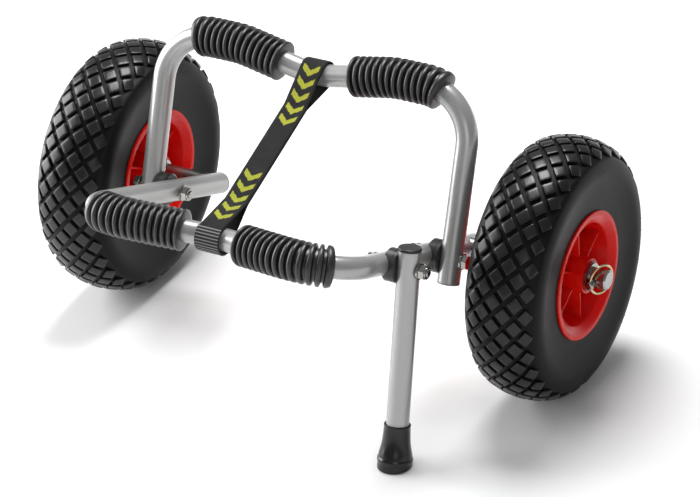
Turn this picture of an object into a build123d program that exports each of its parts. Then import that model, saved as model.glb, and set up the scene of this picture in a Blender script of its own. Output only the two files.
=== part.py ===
# Folding kayak cart: two tube hoops hinged together, two wheels and a kickstand.
# Millimetres. +Z is up and X runs along the wheel axle, with the kickstand on the +X side.
# The front hoop reaches forward to -Y. The origin is on the floor, at the middle of the plan box.
import os
from math import atan2, cos, degrees, radians, sin, tan

from build123d import *

os.makedirs("parts", exist_ok=True)

# Driving dimensions of the wheels
wheel_diameter = 260
tyre_width = 78
wheel_track = 486
rim_lip_radius = 64
rim_lip_offset = 36.7
bead_radius = 57.5
bead_offset = 34.5
hub_length = 75
rib_count = 6

# Driving dimensions of the tube frame
tube_radius = 11
tube_wall = 1.6
arm_x = 145
arm_pitch = 22.5
pivot_from_axle = 76
front_reach = 173
saddle_web = 2.4
leg_lean = 20
rear_reach = 160
bar_dip = 15
dip_half_span = 85
front_corner_radius = 47
rear_corner_radius = 50
dip_bend_radius = 100
dip_middle_radius = 120
arm_tail = 14
leg_tail = 22.5

# Driving dimensions of the kickstand
stand_bolt_reach = 88
stand_lean = 13
stand_top = 18
ferrule_length = 42
ferrule_top_radius = 13
ferrule_base_radius = 17
ferrule_tube_gap = 9

# Driving dimensions of the grips and the strap
grip_spans = {
    ("left", "front"): (31, 93),
    ("right", "front"): (34, 98),
    ("left", "rear"): (37.5, 98),
    ("right", "rear"): (42, 98),
}
grip_rib_count = 14
grip_crest_radius = 20
grip_valley_radius = 16
strap_width = 25
strap_thickness = 1.8
strap_slack = 1.2
patch_thickness = 1.4

# Driving dimensions of the axles, bolts and pins
axle_radius = 10
axle_overhang = 58
bolt_radius = 4
bolt_head_flats = 13
bolt_head_height = 5.3
nut_height = 7.5
washer_radius = 8
washer_thickness = 1.6
pin_radius = 2.5
ring_radius = 14.5
ring_wire_radius = 1.3

# Clearances
turning_gap = 0.08
face_gap = 0.3

# Places worked out from the driving dimensions
wheel_radius = wheel_diameter / 2
wheel_x = wheel_track / 2
leg_x = arm_x + 2 * tube_radius + saddle_web
pitch, lean, stand_tilt = radians(arm_pitch), radians(leg_lean), radians(stand_lean)
front_extent = (pivot_from_axle + front_reach) * cos(pitch) + grip_crest_radius
axle_y = (front_extent - wheel_radius) / 2
pivot_y = axle_y - pivot_from_axle * cos(pitch)
pivot_z = wheel_radius + pivot_from_axle * sin(pitch)
stand_bolt_y = pivot_y - stand_bolt_reach * cos(pitch)
stand_bolt_z = pivot_z + stand_bolt_reach * sin(pitch)
stand_x = leg_x
saddle_mid_x = (arm_x + leg_x) / 2
sides = (("left", -1), ("right", 1))

# Planes: x runs along the axle, y away from the pivot along the arm, the leg or up the stand
front_plane = Plane((0, pivot_y, pivot_z), x_dir=(1, 0, 0), z_dir=(0, -sin(pitch), -cos(pitch)))
rear_plane = Plane((0, pivot_y, pivot_z), x_dir=(1, 0, 0), z_dir=(0, -cos(lean), sin(lean)))
stand_plane = Plane(
    (stand_x, stand_bolt_y, stand_bolt_z), x_dir=(1, 0, 0), z_dir=(0, -cos(stand_tilt), sin(stand_tilt))
)


def hoop_points(half_width, reach, tail):
    """Corner points of a hoop in its own plane, from one open end to the other."""
    return [
        (-half_width, -tail),
        (-half_width, reach),
        (-dip_half_span, reach),
        (0, reach - bar_dip),
        (dip_half_span, reach),
        (half_width, reach),
        (half_width, -tail),
    ]


def hoop_radii(corner_radius):
    """Bend radii at the five inner corners of a hoop."""
    return [corner_radius, dip_bend_radius, dip_middle_radius, dip_bend_radius, corner_radius]


def save(part, name):
    """Label a finished piece and write it under its own name."""
    part.label = name
    export_step(part, f"parts/{name}.step")


# Front hoop: one tube bent to a U, bored for the pivot bolts and the stand bolt
with BuildLine(front_plane) as front_path:
    FilletPolyline(
        *hoop_points(arm_x, front_reach, pivot_from_axle + arm_tail), radius=hoop_radii(front_corner_radius)
    )

with BuildPart() as front_hoop:
    with BuildSketch(Plane(front_path.wire() @ 0, z_dir=front_path.wire() % 0)):
        Circle(tube_radius)
        Circle(tube_radius - tube_wall, mode=Mode.SUBTRACT)
    sweep(path=front_path.wire())
    for _, side in sides:
        with Locations((side * arm_x, pivot_y, pivot_z)):
            Cylinder(bolt_radius + turning_gap, 3 * tube_radius, rotation=(0, 90, 0), mode=Mode.SUBTRACT)
    with Locations((arm_x, stand_bolt_y, stand_bolt_z)):
        Cylinder(bolt_radius + turning_gap, 3 * tube_radius, rotation=(0, 90, 0), mode=Mode.SUBTRACT)
save(front_hoop.part, "front_hoop")

# Rear hoop: the wider U, which turns on the pivot bolts
with BuildLine(rear_plane) as rear_path:
    FilletPolyline(*hoop_points(leg_x, rear_reach, leg_tail), radius=hoop_radii(rear_corner_radius))

with BuildPart() as rear_hoop:
    with BuildSketch(Plane(rear_path.wire() @ 0, z_dir=rear_path.wire() % 0)):
        Circle(tube_radius)
        Circle(tube_radius - tube_wall, mode=Mode.SUBTRACT)
    sweep(path=rear_path.wire())
    for _, side in sides:
        with Locations((side * leg_x, pivot_y, pivot_z)):
            Cylinder(bolt_radius + turning_gap, 3 * tube_radius, rotation=(0, 90, 0), mode=Mode.SUBTRACT)
save(rear_hoop.part, "rear_hoop")

# End plugs: a shank pushed into each open tube end and a thin flange over it
plug_flange = 1.5
plug_shank = 10
plug_fit = 0.05


def end_plug_plane(plane, half_width, tail):
    """Plane on an open tube end, looking out of the tube."""
    return Plane(
        plane.from_local_coords((half_width, -tail, 0)), x_dir=plane.x_dir, z_dir=-plane.y_dir
    )


for plug_name, hoop_plane, half_width, tail in (
    ("arm_end_plugs", front_plane, arm_x, pivot_from_axle + arm_tail),
    ("leg_end_plugs", rear_plane, leg_x, leg_tail),
):
    with BuildPart() as end_plugs:
        for _, side in sides:
            with BuildSketch(end_plug_plane(hoop_plane, side * half_width, tail)):
                Circle(tube_radius)
            extrude(amount=plug_flange)
            with BuildSketch(end_plug_plane(hoop_plane, side * half_width, tail)):
                Circle(tube_radius - tube_wall - plug_fit)
            extrude(amount=-plug_shank)
    save(end_plugs.part, plug_name)


# Grips: ribbed foam sleeves over the level part of each bar
grip_bore_radius = tube_radius + 0.05
rib_profile = (
    (0.0, grip_valley_radius),
    (0.16, grip_crest_radius),
    (0.58, grip_crest_radius),
    (0.74, grip_valley_radius),
)


def make_grip(path, normal, side, inner_end, length):
    """Ruled loft through four circles for each rib, bored for the tube."""
    rib_pitch = length / grip_rib_count
    with BuildPart() as grip:
        for rib in range(grip_rib_count):
            for share, radius in rib_profile:
                along = inner_end + (rib + share) * rib_pitch
                spot = 0.5 + side * along / path.length
                with BuildSketch(Plane(path @ spot, x_dir=normal, z_dir=(path % spot) * side)):
                    Circle(radius)
        loft(ruled=True)
        with BuildSketch(Plane(path @ 0, z_dir=path % 0)):
            Circle(grip_bore_radius)
        sweep(path=path, mode=Mode.SUBTRACT)
    return grip.part


for side_name, side in sides:
    for bar_name, bar_path, bar_plane in (
        ("front", front_path.wire(), front_plane),
        ("rear", rear_path.wire(), rear_plane),
    ):
        inner_end, length = grip_spans[side_name, bar_name]
        save(make_grip(bar_path, bar_plane.z_dir, side, inner_end, length), f"{side_name}_{bar_name}_grip")


# Saddles: moulded discs in back-to-back pairs, each grooved for its own tube
saddle_radius = 16.2
arm_saddle_depth = 9
leg_saddle_depth = 4.5
saddle_edge = 1.2


def make_saddle(inner_x, outer_x, y, z, tube_x, tube_plane):
    """Disc between two places on X, grooved by the tube that it sits on."""
    with BuildPart() as saddle:
        with Locations(((inner_x + outer_x) / 2, y, z)):
            Cylinder(saddle_radius, abs(outer_x - inner_x), rotation=(0, 90, 0))
        outer_face = saddle.faces().filter_by(Axis.X).sort_by(Axis.X)[-1 if outer_x > inner_x else 0]
        chamfer(outer_face.edges(), saddle_edge)
        with Locations((inner_x, y, z)):
            Cylinder(bolt_radius + turning_gap, 2 * saddle_radius, rotation=(0, 90, 0), mode=Mode.SUBTRACT)
        groove_plane = Plane((tube_x, y, z), x_dir=(1, 0, 0), z_dir=tube_plane.y_dir)
        with BuildSketch(groove_plane):
            Circle(tube_radius + plug_fit)
        extrude(amount=2 * saddle_radius, both=True, mode=Mode.SUBTRACT)
    return saddle.part


for side_name, side in sides:
    near_x = side * (saddle_mid_x - face_gap / 2)
    far_x = side * (saddle_mid_x + face_gap / 2)
    arm_saddle = make_saddle(
        near_x, near_x - side * arm_saddle_depth, pivot_y, pivot_z, side * arm_x, front_plane
    )
    save(arm_saddle, f"{side_name}_arm_saddle")
    leg_saddle = make_saddle(
        far_x, far_x + side * leg_saddle_depth, pivot_y, pivot_z, side * leg_x, rear_plane
    )
    save(leg_saddle, f"{side_name}_leg_saddle")

near_x = saddle_mid_x - face_gap / 2
far_x = saddle_mid_x + face_gap / 2
stand_arm_saddle = make_saddle(
    near_x, near_x - arm_saddle_depth, stand_bolt_y, stand_bolt_z, arm_x, front_plane
)
save(stand_arm_saddle, "stand_arm_saddle")
stand_tube_saddle = make_saddle(
    far_x, far_x + leg_saddle_depth, stand_bolt_y, stand_bolt_z, stand_x, stand_plane
)
save(stand_tube_saddle, "stand_tube_saddle")


# Bolts, washers and nuts
thread_past_nut = 1.5
bolt_end_chamfer = 0.7
nut_collar_height = 1.5
nut_collar_inset = 0.6


def make_bolt(head_face_x, shank_end_x, y, z):
    """Hexagon bolt along X, its head outside the first place and its end at the second."""
    way = 1 if shank_end_x > head_face_x else -1
    with BuildPart() as bolt:
        with BuildSketch(Plane((head_face_x, y, z), z_dir=(-way, 0, 0))):
            RegularPolygon(bolt_head_flats / 2, 6, major_radius=False)
        extrude(amount=bolt_head_height)
        with BuildSketch(Plane((head_face_x, y, z), z_dir=(way, 0, 0))):
            Circle(bolt_radius)
        extrude(amount=abs(shank_end_x - head_face_x))
        chamfer(bolt.faces().sort_by(Axis.X)[-1 if way > 0 else 0].edges(), bolt_end_chamfer)
    return bolt.part


def make_nut(face_x, way, y, z):
    """Locking nut whose seat is at the given place, with its rounded collar beyond."""
    with BuildPart() as nut:
        with BuildSketch(Plane((face_x, y, z), z_dir=(way, 0, 0))):
            RegularPolygon(bolt_head_flats / 2, 6, major_radius=False)
        extrude(amount=nut_height - nut_collar_height)
        with BuildSketch(Plane((face_x, y, z), z_dir=(way, 0, 0))):
            Circle(bolt_head_flats / 2 - nut_collar_inset)
        extrude(amount=nut_height)
        with BuildSketch(Plane((face_x, y, z), z_dir=(way, 0, 0))):
            Circle(bolt_radius + plug_fit)
        extrude(amount=nut_height, mode=Mode.SUBTRACT)
    return nut.part


def make_washer(face_x, way, y, z):
    """Flat washer from a seat at the given place."""
    with BuildPart() as washer:
        with BuildSketch(Plane((face_x, y, z), z_dir=(way, 0, 0))):
            Circle(washer_radius)
            Circle(bolt_radius + turning_gap, mode=Mode.SUBTRACT)
        extrude(amount=washer_thickness)
    return washer.part


outer_seat_x = leg_x + tube_radius + face_gap
inner_seat_x = arm_x - tube_radius
for side_name, side in sides:
    head_face_x = outer_seat_x + washer_thickness
    nut_face_x = inner_seat_x - washer_thickness
    shank_end_x = nut_face_x - nut_height - thread_past_nut
    save(make_bolt(side * head_face_x, side * shank_end_x, pivot_y, pivot_z), f"{side_name}_pivot_bolt")
    save(make_nut(side * nut_face_x, -side, pivot_y, pivot_z), f"{side_name}_pivot_nut")
    washers = Compound(
        children=[
            make_washer(side * outer_seat_x, side, pivot_y, pivot_z),
            make_washer(side * inner_seat_x, -side, pivot_y, pivot_z),
        ]
    )
    save(washers, f"{side_name}_pivot_washers")

stand_nut_face_x = outer_seat_x + washer_thickness
stand_bolt_end_x = stand_nut_face_x + nut_height + thread_past_nut
stand_head_face_x = inner_seat_x - washer_thickness
save(make_bolt(stand_head_face_x, stand_bolt_end_x, stand_bolt_y, stand_bolt_z), "stand_bolt")
save(make_nut(stand_nut_face_x, 1, stand_bolt_y, stand_bolt_z), "stand_nut")
stand_washers = Compound(
    children=[
        make_washer(outer_seat_x, 1, stand_bolt_y, stand_bolt_z),
        make_washer(inner_seat_x, -1, stand_bolt_y, stand_bolt_z),
    ]
)
save(stand_washers, "stand_washers")

# Kickstand: a straight tube with a plug cap on top and a rubber ferrule on the floor
stand_run = stand_bolt_z / cos(stand_tilt)
tube_foot = stand_run - ferrule_tube_gap

with BuildPart() as stand_tube:
    with BuildSketch(Plane(stand_plane.from_local_coords((0, -tube_foot, 0)), z_dir=stand_plane.y_dir)):
        Circle(tube_radius)
        Circle(tube_radius - tube_wall, mode=Mode.SUBTRACT)
    extrude(amount=tube_foot + stand_top)
    with Locations((stand_x, stand_bolt_y, stand_bolt_z)):
        Cylinder(bolt_radius + turning_gap, 3 * tube_radius, rotation=(0, 90, 0), mode=Mode.SUBTRACT)
save(stand_tube.part, "stand_tube")

cap_height = 3.2
cap_overhang = 0.4
cap_edge_round = 1.5
with BuildPart() as stand_cap:
    with BuildSketch(Plane(stand_plane.from_local_coords((0, stand_top, 0)), z_dir=stand_plane.y_dir)):
        Circle(tube_radius + cap_overhang)
    extrude(amount=cap_height)
    fillet(stand_cap.faces().sort_by(Axis.Z)[-1].edges(), cap_edge_round)
    with BuildSketch(Plane(stand_plane.from_local_coords((0, stand_top, 0)), z_dir=stand_plane.y_dir)):
        Circle(tube_radius - tube_wall - plug_fit)
    extrude(amount=-plug_shank)
save(stand_cap.part, "stand_cap")

# The ferrule is turned about the stand and cut flat where it meets the floor
ferrule_drop = ferrule_base_radius * tan(stand_tilt) + 1
ferrule_flare = 9
ferrule_waist_radius = 13.6
with BuildPart() as stand_foot:
    with BuildSketch(Plane(stand_plane.origin, x_dir=(1, 0, 0), z_dir=stand_plane.z_dir)):
        with BuildLine():
            Polyline(
                (0, -stand_run - ferrule_drop),
                (ferrule_base_radius, -stand_run - ferrule_drop),
                (ferrule_base_radius, -stand_run + ferrule_flare),
                (ferrule_waist_radius, -stand_run + 2 * ferrule_flare),
                (ferrule_top_radius, -stand_run + ferrule_length),
                (0, -stand_run + ferrule_length),
                close=True,
            )
        make_face()
    revolve(axis=Axis(stand_plane.origin, stand_plane.y_dir))
    with BuildSketch(Plane(stand_plane.from_local_coords((0, -tube_foot, 0)), z_dir=stand_plane.y_dir)):
        Circle(tube_radius + plug_fit)
    extrude(amount=2 * ferrule_length, mode=Mode.SUBTRACT)
    split(bisect_by=Plane.XY, keep=Keep.TOP)
save(stand_foot.part, "stand_foot")


# Strap: a webbing loop round the middle of both bars, with a sewn patch at the front bar
def dip_middle(plane, reach):
    """Middle of a bar's centre line, where the bend lifts it off its corner point."""
    half_bend = atan2(bar_dip, dip_half_span)
    lift = dip_middle_radius * (1 / cos(half_bend) - 1)
    sag = dip_middle_radius * (1 - cos(half_bend)) / 2
    return plane.from_local_coords((0, reach - bar_dip + lift + sag, 0))


front_middle = dip_middle(front_plane, front_reach)
rear_middle = dip_middle(rear_plane, rear_reach)
strap_inner_radius = tube_radius + strap_slack
strap_outer_radius = strap_inner_radius + strap_thickness
strap_span = rear_middle - front_middle
pinch_reach = 45
pinch_gap = 0.1

strap_way = strap_span.normalized()
pinches = [front_middle + strap_way * pinch_reach, rear_middle - strap_way * pinch_reach]


def strap_eye(bar_middle, pinch, bar_radius, pinch_radius):
    """Teardrop round one bar, drawn in to the pinch where both layers meet."""
    with BuildSketch(Plane.YZ) as eye:
        with Locations((bar_middle.Y, bar_middle.Z)):
            Circle(bar_radius)
        with Locations((pinch.Y, pinch.Z)):
            Circle(pinch_radius)
        make_hull()
    return eye.sketch


with BuildPart() as strap:
    with BuildSketch(Plane.YZ):
        with Locations(*[(pinch.Y, pinch.Z) for pinch in pinches]):
            Circle(strap_thickness)
        make_hull()
    extrude(amount=strap_width / 2, both=True)
    for bar_middle, pinch in zip((front_middle, rear_middle), pinches):
        extrude(
            strap_eye(bar_middle, pinch, strap_outer_radius, strap_thickness),
            amount=strap_width / 2,
            both=True,
        )
    for bar_middle, pinch in zip((front_middle, rear_middle), pinches):
        extrude(
            strap_eye(bar_middle, pinch, strap_inner_radius, pinch_gap),
            amount=strap_width,
            both=True,
            mode=Mode.SUBTRACT,
        )
save(strap.part, "strap")

strap_slope = degrees(atan2(strap_span.Z, strap_span.Y))
patch_box = 2 * (strap_outer_radius + patch_thickness)
patch_overlap = 0.5
with BuildPart() as strap_patch:
    with BuildSketch(Plane.YZ):
        with Locations((front_middle.Y, front_middle.Z)):
            Circle(strap_outer_radius + patch_thickness)
            Circle(strap_outer_radius + plug_fit, mode=Mode.SUBTRACT)
        with Locations(Location((front_middle.Y, front_middle.Z, 0), (0, 0, strap_slope))):
            Rectangle(patch_box, patch_box, align=(Align.MAX, Align.CENTER), mode=Mode.INTERSECT)
    extrude(amount=strap_width / 2 + patch_overlap, both=True)
save(strap_patch.part, "strap_patch")

# Wheel sizes: half sections are drawn as (distance outwards from mid-plane, radius)
tread_half_width = 24
tread_drop = 4.5
tyre_wide_radius = 97
core_tread_half_width = 20
core_drop = 3.5
core_half_width = 33
core_wide_radius = 95
core_crown_radius = 121.5
core_bead_offset = 28.5
hub_bore_radius = 13
hub_radius = 17.5
web_gap = 3.5
web_face = 7
dish_root_radius = 45
dish_lip_offset = 32
dish_lip_radius = 51
lip_land = 5
rib_thickness = 2.4
rib_face = 27
drum_wall = 6
hub_draft = 1.5
screw_circle_radius = 30
screw_radius = 2
screw_head_radius = 4
screw_head_height = 2.5
screw_boss_radius = 5
bush_length = 25
bush_flange_radius = 15
bush_flange = 1.5
hub_face = hub_length / 2
half_rib_angle = 180 / rib_count


def wheel_section_plane(side, outwards):
    """Section plane of a wheel: x along the axle, y up from it."""
    way = side * outwards
    return Plane((side * wheel_x, axle_y, wheel_radius), x_dir=(way, 0, 0), z_dir=(0, -way, 0))


def tyre_outline(half_tread, drop, crown_radius, half_width, wide_radius, bead_face):
    """Closed outline of a tyre: crown, two shoulders, two walls and the bead seat."""
    edge_radius = crown_radius - drop
    crown = ThreePointArc((-half_tread, edge_radius), (0, crown_radius), (half_tread, edge_radius))
    outer_shoulder = TangentArc(crown @ 1, (half_width, wide_radius), tangent=crown % 1)
    outer_wall = TangentArc(
        outer_shoulder @ 1, (bead_face, rim_lip_radius), tangent=outer_shoulder % 1
    )
    inner_shoulder = TangentArc(crown @ 0, (-half_width, wide_radius), tangent=-(crown % 0))
    inner_wall = TangentArc(
        inner_shoulder @ 1, (-bead_face, rim_lip_radius), tangent=inner_shoulder % 1
    )
    Polyline(outer_wall @ 1, (bead_face, bead_radius), (-bead_face, bead_radius), inner_wall @ 1)


def core_outline():
    """Outline of the foam core, which is the inside of the tyre."""
    tyre_outline(
        core_tread_half_width,
        core_drop,
        core_crown_radius,
        core_half_width,
        core_wide_radius,
        core_bead_offset,
    )


def make_tyre(side):
    """Tyre out to the tops of its tread blocks, with its inside cut out for the core."""
    with BuildPart() as tyre:
        with BuildSketch(wheel_section_plane(side, 1)):
            with BuildLine():
                tyre_outline(
                    tread_half_width, tread_drop, wheel_radius, tyre_width / 2, tyre_wide_radius, bead_offset
                )
            make_face()
            with BuildLine():
                core_outline()
            make_face(mode=Mode.SUBTRACT)
        revolve(axis=Axis((side * wheel_x, axle_y, wheel_radius), (1, 0, 0)))
    return tyre.part


def make_core(side):
    """Foam ring that fills the tyre."""
    with BuildPart() as core:
        with BuildSketch(wheel_section_plane(side, 1)):
            with BuildLine():
                core_outline()
            make_face()
        revolve(axis=Axis((side * wheel_x, axle_y, wheel_radius), (1, 0, 0)))
    return core.part


def make_rim_half(side, outwards):
    """Half of the moulded rim: drum, lip, dished web, hub boss, ribs and screw bosses."""
    section_plane = wheel_section_plane(side, outwards)
    axle_axis = Axis((side * wheel_x, axle_y, wheel_radius), (1, 0, 0))
    with BuildPart(mode=Mode.PRIVATE) as rib:
        with BuildSketch(section_plane):
            Polygon(
                (web_gap + 1, hub_radius - 2),
                (rib_face, hub_radius - 2),
                (rib_face, dish_lip_radius),
                (web_gap + 1, dish_root_radius + 1),
                align=None,
            )
        extrude(amount=rib_thickness / 2, both=True)
    with BuildPart() as half:
        with BuildSketch(section_plane):
            with BuildLine():
                Polyline(
                    (0, hub_bore_radius),
                    (hub_face, hub_bore_radius),
                    (hub_face, hub_radius),
                    (web_face, hub_radius + hub_draft),
                    (web_face, dish_root_radius),
                    (dish_lip_offset, dish_lip_radius),
                    (rim_lip_offset, rim_lip_radius - lip_land),
                    (rim_lip_offset, rim_lip_radius),
                    (bead_offset, rim_lip_radius),
                    (bead_offset, bead_radius),
                    (0, bead_radius),
                    (0, bead_radius - drum_wall),
                    (web_gap, dish_root_radius),
                    (web_gap, hub_radius + hub_draft),
                    (0, hub_radius),
                    close=True,
                )
            make_face()
        revolve(axis=axle_axis)
        add([rib.part.rotate(axle_axis, 360 / rib_count * k) for k in range(rib_count)])
        with Locations(Plane(section_plane.origin, x_dir=(0, 0, 1), z_dir=section_plane.x_dir)):
            with PolarLocations(screw_circle_radius, rib_count, start_angle=outwards * half_rib_angle):
                Cylinder(screw_boss_radius, web_face, align=(Align.CENTER, Align.CENTER, Align.MIN))
                Cylinder(
                    screw_radius + plug_fit,
                    web_face if outwards < 0 else web_face - 1,
                    align=(Align.CENTER, Align.CENTER, Align.MIN),
                    mode=Mode.SUBTRACT,
                )
    return half.part


def make_rim_screws(side):
    """Screws whose heads sit on the inner half of the rim."""
    head_plane = Plane(
        (side * (wheel_x - web_face), axle_y, wheel_radius), x_dir=(0, 0, 1), z_dir=(side, 0, 0)
    )
    with BuildPart() as screws:
        with Locations(head_plane):
            with PolarLocations(screw_circle_radius, rib_count, start_angle=half_rib_angle):
                Cylinder(screw_radius, 2 * web_face - 1.5, align=(Align.CENTER, Align.CENTER, Align.MIN))
                Cylinder(screw_head_radius, screw_head_height, align=(Align.CENTER, Align.CENTER, Align.MAX))
    return screws.part


def make_bush(side, outwards):
    """Flanged plain bearing in one end of the hub."""
    way = side * outwards
    end_plane = Plane((side * wheel_x + way * hub_face, axle_y, wheel_radius), z_dir=(way, 0, 0))
    with BuildPart() as bush:
        with BuildSketch(end_plane):
            Circle(hub_bore_radius)
            Circle(axle_radius + turning_gap, mode=Mode.SUBTRACT)
        extrude(amount=-bush_length)
        with BuildSketch(end_plane):
            Circle(bush_flange_radius)
            Circle(axle_radius + turning_gap, mode=Mode.SUBTRACT)
        extrude(amount=bush_flange)
    return bush.part


for side_name, side in sides:
    save(make_tyre(side), f"{side_name}_tyre")
    save(make_core(side), f"{side_name}_foam_core")
    save(make_rim_half(side, 1), f"{side_name}_rim_outer_half")
    save(make_rim_half(side, -1), f"{side_name}_rim_inner_half")
    save(make_rim_screws(side), f"{side_name}_rim_screws")
    save(make_bush(side, 1), f"{side_name}_outer_bush")
    save(make_bush(side, -1), f"{side_name}_inner_bush")

# Axle stubs: rods coped onto the arm tails, cross drilled outside and inside the hub
wheel_play = 0.3
thrust_washer_radius = 13.5
thrust_washer = 1.6
stop_pin_radius = 2
stop_pin_length = 30
hub_end = hub_face + bush_flange + wheel_play
pin_head_radius = 4
pin_offset = hub_end + thrust_washer + pin_head_radius + 0.2
stop_offset = hub_end + thrust_washer + stop_pin_radius + 0.3


def make_axle(side):
    """Rod from the side of the arm to its chamfered outer end."""
    outer_x = side * (wheel_x + axle_overhang)
    with BuildPart() as axle:
        with BuildSketch(Plane((side * arm_x, axle_y, wheel_radius), z_dir=(side, 0, 0))):
            Circle(axle_radius)
        extrude(amount=abs(outer_x) - arm_x)
        chamfer(axle.faces().sort_by(Axis.X)[-1 if side > 0 else 0].edges(), 1.5)
        with BuildSketch(Plane((side * arm_x, pivot_y, pivot_z), z_dir=front_plane.y_dir)):
            Circle(tube_radius)
        extrude(amount=-2 * pivot_from_axle, mode=Mode.SUBTRACT)
        with Locations((side * (wheel_x + pin_offset), axle_y, wheel_radius)):
            Cylinder(pin_radius + plug_fit, 3 * axle_radius, rotation=(90, 0, 0), mode=Mode.SUBTRACT)
        with Locations((side * (wheel_x - stop_offset), axle_y, wheel_radius)):
            Cylinder(stop_pin_radius + plug_fit, 3 * axle_radius, mode=Mode.SUBTRACT)
    return axle.part


def make_thrust_washer(side, face_offset, way):
    """Washer on the axle at one end of the hub."""
    with BuildPart() as washer:
        with BuildSketch(Plane((side * wheel_x + face_offset, axle_y, wheel_radius), z_dir=(way, 0, 0))):
            Circle(thrust_washer_radius)
            Circle(axle_radius + plug_fit, mode=Mode.SUBTRACT)
        extrude(amount=thrust_washer)
    return washer.part


# Retaining pins: a cross pin whose head carries a snap ring that closes round the axle
pin_head_start = 10.8
pin_head_length = 8
pin_tip = 12
pin_tip_chamfer = 1.2
pin_head_round = 1.5
ring_hinge = pin_head_start + pin_head_length / 2
ring_hole_radius = 2.1
ring_rest_tilt = 20


def make_retaining_pin(side):
    """Pin along Y with its cross-drilled head at the front."""
    pin_x = side * (wheel_x + pin_offset)
    with BuildPart() as pin:
        with BuildSketch(Plane((pin_x, axle_y + pin_tip, wheel_radius), z_dir=(0, -1, 0))):
            Circle(pin_radius)
        extrude(amount=pin_tip + pin_head_start + 1)
        chamfer(pin.faces().sort_by(Axis.Y)[-1].edges(), pin_tip_chamfer)
        with BuildSketch(Plane((pin_x, axle_y - pin_head_start, wheel_radius), z_dir=(0, -1, 0))):
            Circle(pin_head_radius)
        extrude(amount=pin_head_length)
        fillet(pin.faces().sort_by(Axis.Y)[0].edges(), pin_head_round)
        with Locations((pin_x, axle_y - ring_hinge, wheel_radius)):
            Cylinder(ring_hole_radius, 4 * pin_head_radius, mode=Mode.SUBTRACT)
    return pin.part


def make_snap_ring(side):
    """Wire ring through the pin head, round the axle and tilted towards its end."""
    tilt = radians(ring_rest_tilt)
    hinge = Vector(side * (wheel_x + pin_offset), axle_y - ring_hinge, wheel_radius)
    away = Vector(side * sin(tilt), cos(tilt), 0)
    ring_plane = Plane(hinge + away * ring_radius, x_dir=away, z_dir=Vector(0, 0, 1).cross(away))
    with BuildPart() as ring:
        with Locations(ring_plane):
            Torus(ring_radius, ring_wire_radius)
    return ring.part


for side_name, side in sides:
    save(make_axle(side), f"{side_name}_axle_stub")
    thrust_washers = Compound(
        children=[
            make_thrust_washer(side, hub_end, 1),
            make_thrust_washer(side, -hub_end, -1),
        ]
    )
    save(thrust_washers, f"{side_name}_thrust_washers")
    with BuildPart() as stop_pin:
        with Locations((side * (wheel_x - stop_offset), axle_y, wheel_radius)):
            Cylinder(stop_pin_radius, stop_pin_length)
    save(stop_pin.part, f"{side_name}_stop_pin")
    save(make_retaining_pin(side), f"{side_name}_retaining_pin")
    save(make_snap_ring(side), f"{side_name}_snap_ring")

# Places that the record repeats
hoop_opening = 90 - arm_pitch + leg_lean
print("axle", round(axle_y, 2), "pivot", round(pivot_y, 2), round(pivot_z, 2))
print("stand bolt", round(stand_bolt_y, 2), round(stand_bolt_z, 2), "stand run", round(stand_run, 2))
print("leg x", leg_x, "hoop opening", hoop_opening, "pin offset", round(pin_offset, 2))
print("ring hinge", ring_hinge, "ring tilt", ring_rest_tilt)
print("front bar", front_middle, "rear bar", rear_middle)
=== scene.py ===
# %% [markdown]
# Folding kayak cart, dressed for its portrait.
#
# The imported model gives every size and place. This lesson starts by loading it as a fixed frame,
# and then builds each visible piece again where the frame says it is: bent tubes, ribbed grips,
# block-tread tyres, dished rims and the woven strap. All lengths are in metres.

# %% Load the frame and keep its box
import random
from math import acos, asin, atan2, cos, hypot, pi, radians, sin, sqrt, tan

import bpy
from mathutils import Matrix, Vector


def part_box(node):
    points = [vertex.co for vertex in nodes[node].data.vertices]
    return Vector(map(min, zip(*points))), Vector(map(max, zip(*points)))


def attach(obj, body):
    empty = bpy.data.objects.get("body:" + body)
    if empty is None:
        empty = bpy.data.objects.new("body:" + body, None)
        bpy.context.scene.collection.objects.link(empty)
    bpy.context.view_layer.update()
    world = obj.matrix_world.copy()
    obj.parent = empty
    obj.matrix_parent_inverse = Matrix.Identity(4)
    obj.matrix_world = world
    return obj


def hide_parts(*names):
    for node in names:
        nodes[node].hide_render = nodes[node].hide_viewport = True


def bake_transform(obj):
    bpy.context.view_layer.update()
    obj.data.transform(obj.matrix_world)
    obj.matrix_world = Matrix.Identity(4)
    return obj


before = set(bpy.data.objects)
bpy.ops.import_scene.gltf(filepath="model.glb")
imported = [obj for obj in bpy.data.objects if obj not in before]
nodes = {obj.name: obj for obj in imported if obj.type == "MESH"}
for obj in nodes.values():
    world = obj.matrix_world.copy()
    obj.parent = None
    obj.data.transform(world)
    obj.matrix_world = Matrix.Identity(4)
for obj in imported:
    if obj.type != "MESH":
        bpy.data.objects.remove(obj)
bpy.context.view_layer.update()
MM = 0.001


# %% [markdown]
# Pieces are bolted, turned or bent round a few centre lines, whose places come from the frame's own
# boxes. Only the slopes of the tubes are written down, because a box can't say how a tube leans.

# %% Places read from the frame
def middle(node):
    """Middle of a frame node's box."""
    low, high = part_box(node)
    return (low + high) / 2


sides = (("left", -1), ("right", 1))
wheel_centre = middle("right_tyre")
_, axle_y, axle_z = wheel_centre
pivot = middle("right_pivot_washers")
stand_bolt = middle("stand_washers")
tube_radius = 11 * MM
arm_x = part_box("right_pivot_washers")[0].x + 1.6 * MM + tube_radius
leg_x = middle("stand_tube").x
arm_way = Vector((0, -cos(radians(22.5)), sin(radians(22.5))))
leg_way = Vector((0, sin(radians(20)), cos(radians(20))))
stand_lean = radians(13)
stand_way = Vector((0, sin(stand_lean), cos(stand_lean)))
print("wheel", [round(v, 5) for v in wheel_centre])
print("pivot", round(pivot.y, 5), round(pivot.z, 5), "arm", round(arm_x, 5))


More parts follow.
